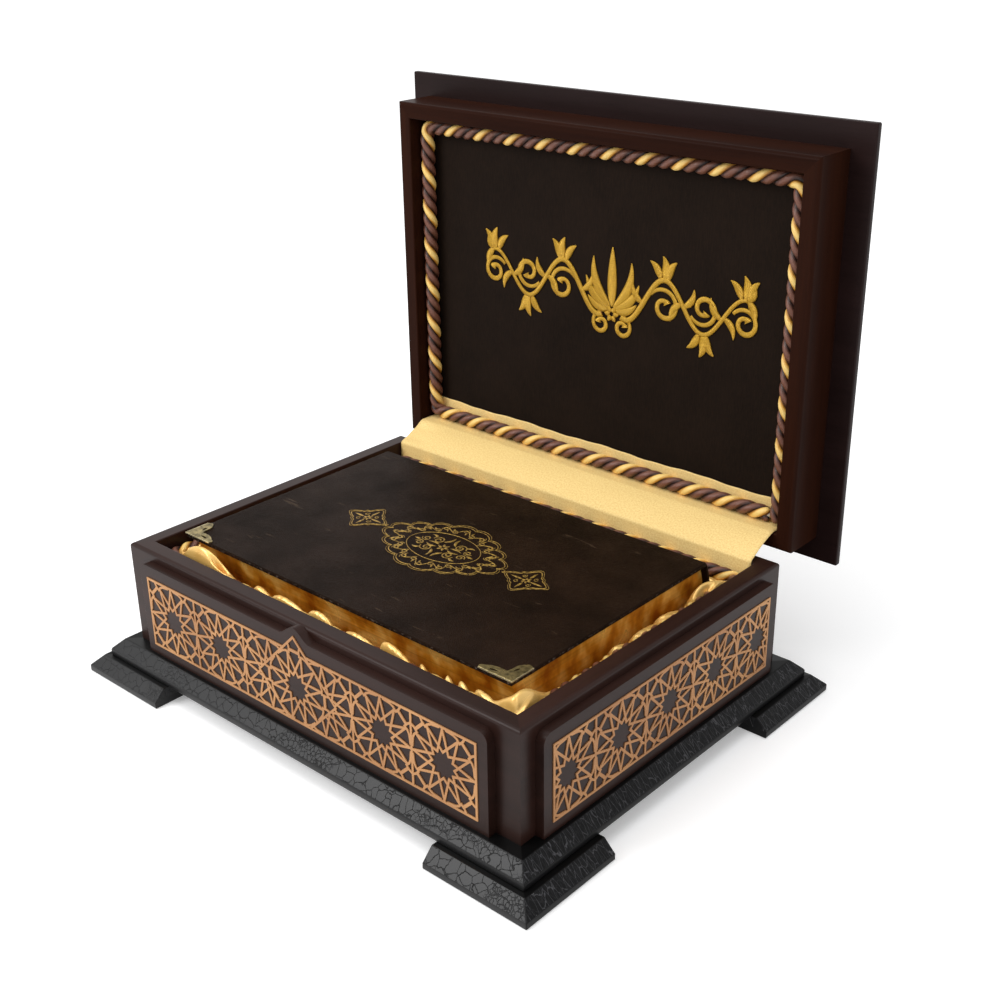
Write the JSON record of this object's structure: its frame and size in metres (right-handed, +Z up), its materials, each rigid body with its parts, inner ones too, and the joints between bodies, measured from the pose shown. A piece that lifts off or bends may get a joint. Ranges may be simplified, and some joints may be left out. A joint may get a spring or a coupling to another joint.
{
  "type": "presentation book box",
  "caption": "Hinged presentation box with star strapwork inlay, roped and lined inside, holding a large bound book on a satin bed.",
  "frame": {"origin": "on the floor, under the middle of the open box's outline", "axes": "+X along the long front, to the right; +Y from the front to the lid; +Z up"},
  "size_m": [0.394, 0.3338, 0.363],
  "materials": {
    "grained_black": "black lacquer over a grained, creased surface",
    "lacquered_wood": "dark brown satin lacquer",
    "copper_inlay": "copper-gold strapwork, soft sheen",
    "hinge_brass": "rolled brass",
    "gold_satin": "gold satin, gathered",
    "gold_cloth": "pale gold cloth, flat",
    "twisted_rope": "three-strand trim, two brown and one gold",
    "dark_velvet": "near-black cloth with gold embroidery",
    "padding": "pale wadding",
    "cover_leather": "very dark brown grained hide, gold stamped",
    "gilt_paper": "gilt leaf edges",
    "antique_brass": "aged brass, pierced"
  },
  "bodies": {
    "case": {"foot_front_left": "grained_black", "foot_front_right": "grained_black", "foot_back_left": "grained_black", "foot_back_right": "grained_black", "base_board": "grained_black", "front_wall": "lacquered_wood", "back_wall": "lacquered_wood", "left_wall": "lacquered_wood", "right_wall": "lacquered_wood", "front_panel": "lacquered_wood", "left_panel": "lacquered_wood", "right_panel": "lacquered_wood", "front_inlay": "copper_inlay", "left_inlay": "copper_inlay", "right_inlay": "copper_inlay", "case_leaf_left": "hinge_brass", "case_leaf_right": "hinge_brass", "hinge_pin_left": "hinge_brass", "hinge_pin_right": "hinge_brass", "case_screws": "hinge_brass", "book_bed": "gold_satin", "satin_surround": "gold_satin", "case_rope": "twisted_rope", "hinge_flap": "gold_cloth"},
    "lid": {"lid_board": "lacquered_wood", "lid_front_rail": "lacquered_wood", "lid_back_rail": "lacquered_wood", "lid_left_rail": "lacquered_wood", "lid_right_rail": "lacquered_wood", "lid_padding": "padding", "lid_lining": "dark_velvet", "lid_rope": "twisted_rope", "lid_leaf_left": "hinge_brass", "lid_leaf_right": "hinge_brass", "lid_screws": "hinge_brass"},
    "book": {"upper_cover": "cover_leather", "lower_cover": "cover_leather", "spine": "cover_leather", "text_block": "gilt_paper", "cover_corners": "antique_brass"}
  },
  "joints": [
    {"name": "lid_hinge", "type": "hinge", "parent": "case", "child": "lid", "pos_m": [0, 0.11635, 0.0908], "axis": [1, 0, 0], "range_deg": [0, 90], "deforming": ["hinge_flap"]},
    {"name": "book_lift", "type": "slide", "parent": "case", "child": "book", "axis": [0, 0, 1], "range_m": [0, 0.2]}
  ]
}
